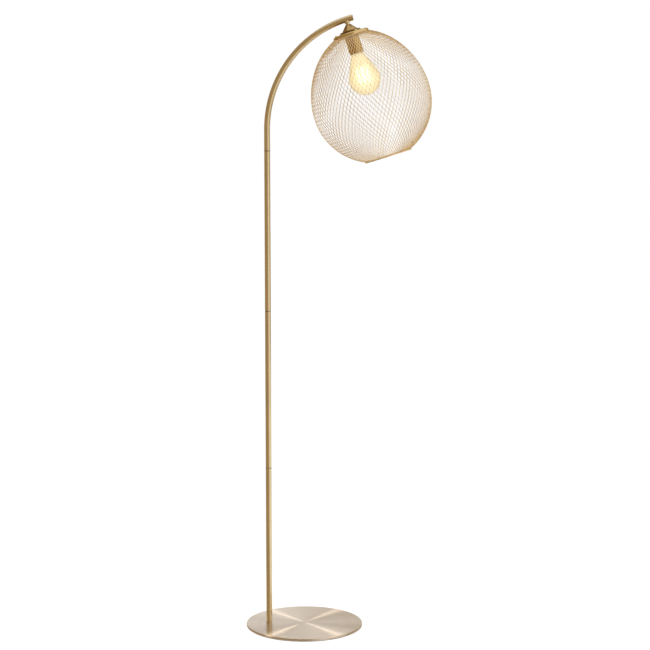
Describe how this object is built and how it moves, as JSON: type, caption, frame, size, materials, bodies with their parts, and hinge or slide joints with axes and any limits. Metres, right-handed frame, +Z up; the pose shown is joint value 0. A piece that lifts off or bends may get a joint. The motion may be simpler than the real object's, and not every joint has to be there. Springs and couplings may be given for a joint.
{
  "type": "floor lamp",
  "caption": "Arc floor lamp: round weighted foot, thin sectional pole bent over at the top, and an open metal-mesh globe hung round a bulb holder.",
  "frame": {"origin": "centre of the foot's underside, on the floor", "axes": "+Z up; +X from the pole towards the shade; the arm lies in the XZ plane"},
  "size_m": [0.4723, 0.3, 1.5673],
  "materials": {
    "satin_brass_plate": "satin brass plate",
    "spun_brass_plate": "spun satin brass plate",
    "brass_plated_mesh": "satin brass plate",
    "brass_screws": "polished",
    "bright_brass": "polished",
    "zinc_plated_steel": "zinc plated",
    "black_rubber": "matte",
    "holder_plastic": "moulded",
    "bulb_insulator_glass": "fused glass",
    "amber_glass": "clear amber",
    "clear_glass": "clear",
    "filament_wire": "wire",
    "filament": "lit"
  },
  "bodies": {
    "stand": {"base_disc": "spun_brass_plate", "base_pad": "black_rubber", "foot_bolt": "zinc_plated_steel", "foot_plug": "zinc_plated_steel", "lower_pole": "satin_brass_plate", "middle_pole": "satin_brass_plate", "upper_pole": "satin_brass_plate", "cable_grommet": "black_rubber", "lower_seam_socket": "zinc_plated_steel", "lower_seam_stud": "zinc_plated_steel", "middle_seam_socket": "zinc_plated_steel", "middle_seam_stud": "zinc_plated_steel", "upper_seam_socket": "zinc_plated_steel", "upper_seam_stud": "zinc_plated_steel", "arm_tube": "satin_brass_plate", "arm_end_plug": "satin_brass_plate", "neck_collar": "satin_brass_plate", "neck_nipple": "zinc_plated_steel", "nipple_nut": "zinc_plated_steel"},
    "head": {"canopy": "satin_brass_plate", "shade_carrier": "satin_brass_plate", "neck_spacer": "satin_brass_plate", "shade_top_ring": "brass_plated_mesh", "mesh_gore_1": "brass_plated_mesh", "mesh_gore_2": "brass_plated_mesh", "mesh_gore_3": "brass_plated_mesh", "mesh_gore_4": "brass_plated_mesh", "mouth_ring": "brass_plated_mesh", "shade_screw_1": "brass_screws", "shade_screw_2": "brass_screws", "shade_screw_3": "brass_screws", "shade_screw_4": "brass_screws", "holder_sleeve": "bright_brass", "holder_body": "holder_plastic", "holder_screw_left": "zinc_plated_steel", "holder_screw_right": "zinc_plated_steel", "terminal_screw_left": "bright_brass", "terminal_screw_right": "bright_brass", "holder_shell": "bright_brass", "holder_lip": "holder_plastic", "contact_tongue": "bright_brass"},
    "bulb": {"bulb_button": "bright_brass", "bulb_insulator": "bulb_insulator_glass", "bulb_cap": "bright_brass", "bulb_glass": "amber_glass", "bulb_stem": "clear_glass", "filament_frame": "filament_wire", "bulb_filament_1": "filament", "bulb_filament_2": "filament", "bulb_filament_3": "filament", "bulb_filament_4": "filament"}
  },
  "joints": [
    {"name": "head_swivel", "type": "hinge", "parent": "stand", "child": "head", "pos_m": [0.10845, 0, 1.5554], "axis": [-0.2991, 0, 0.9542], "range_deg": [-170, 170]},
    {"name": "bulb_removal", "type": "slide", "parent": "head", "child": "bulb", "axis": [0.2991, 0, -0.9542], "range_m": [0, 0.03]}
  ]
}
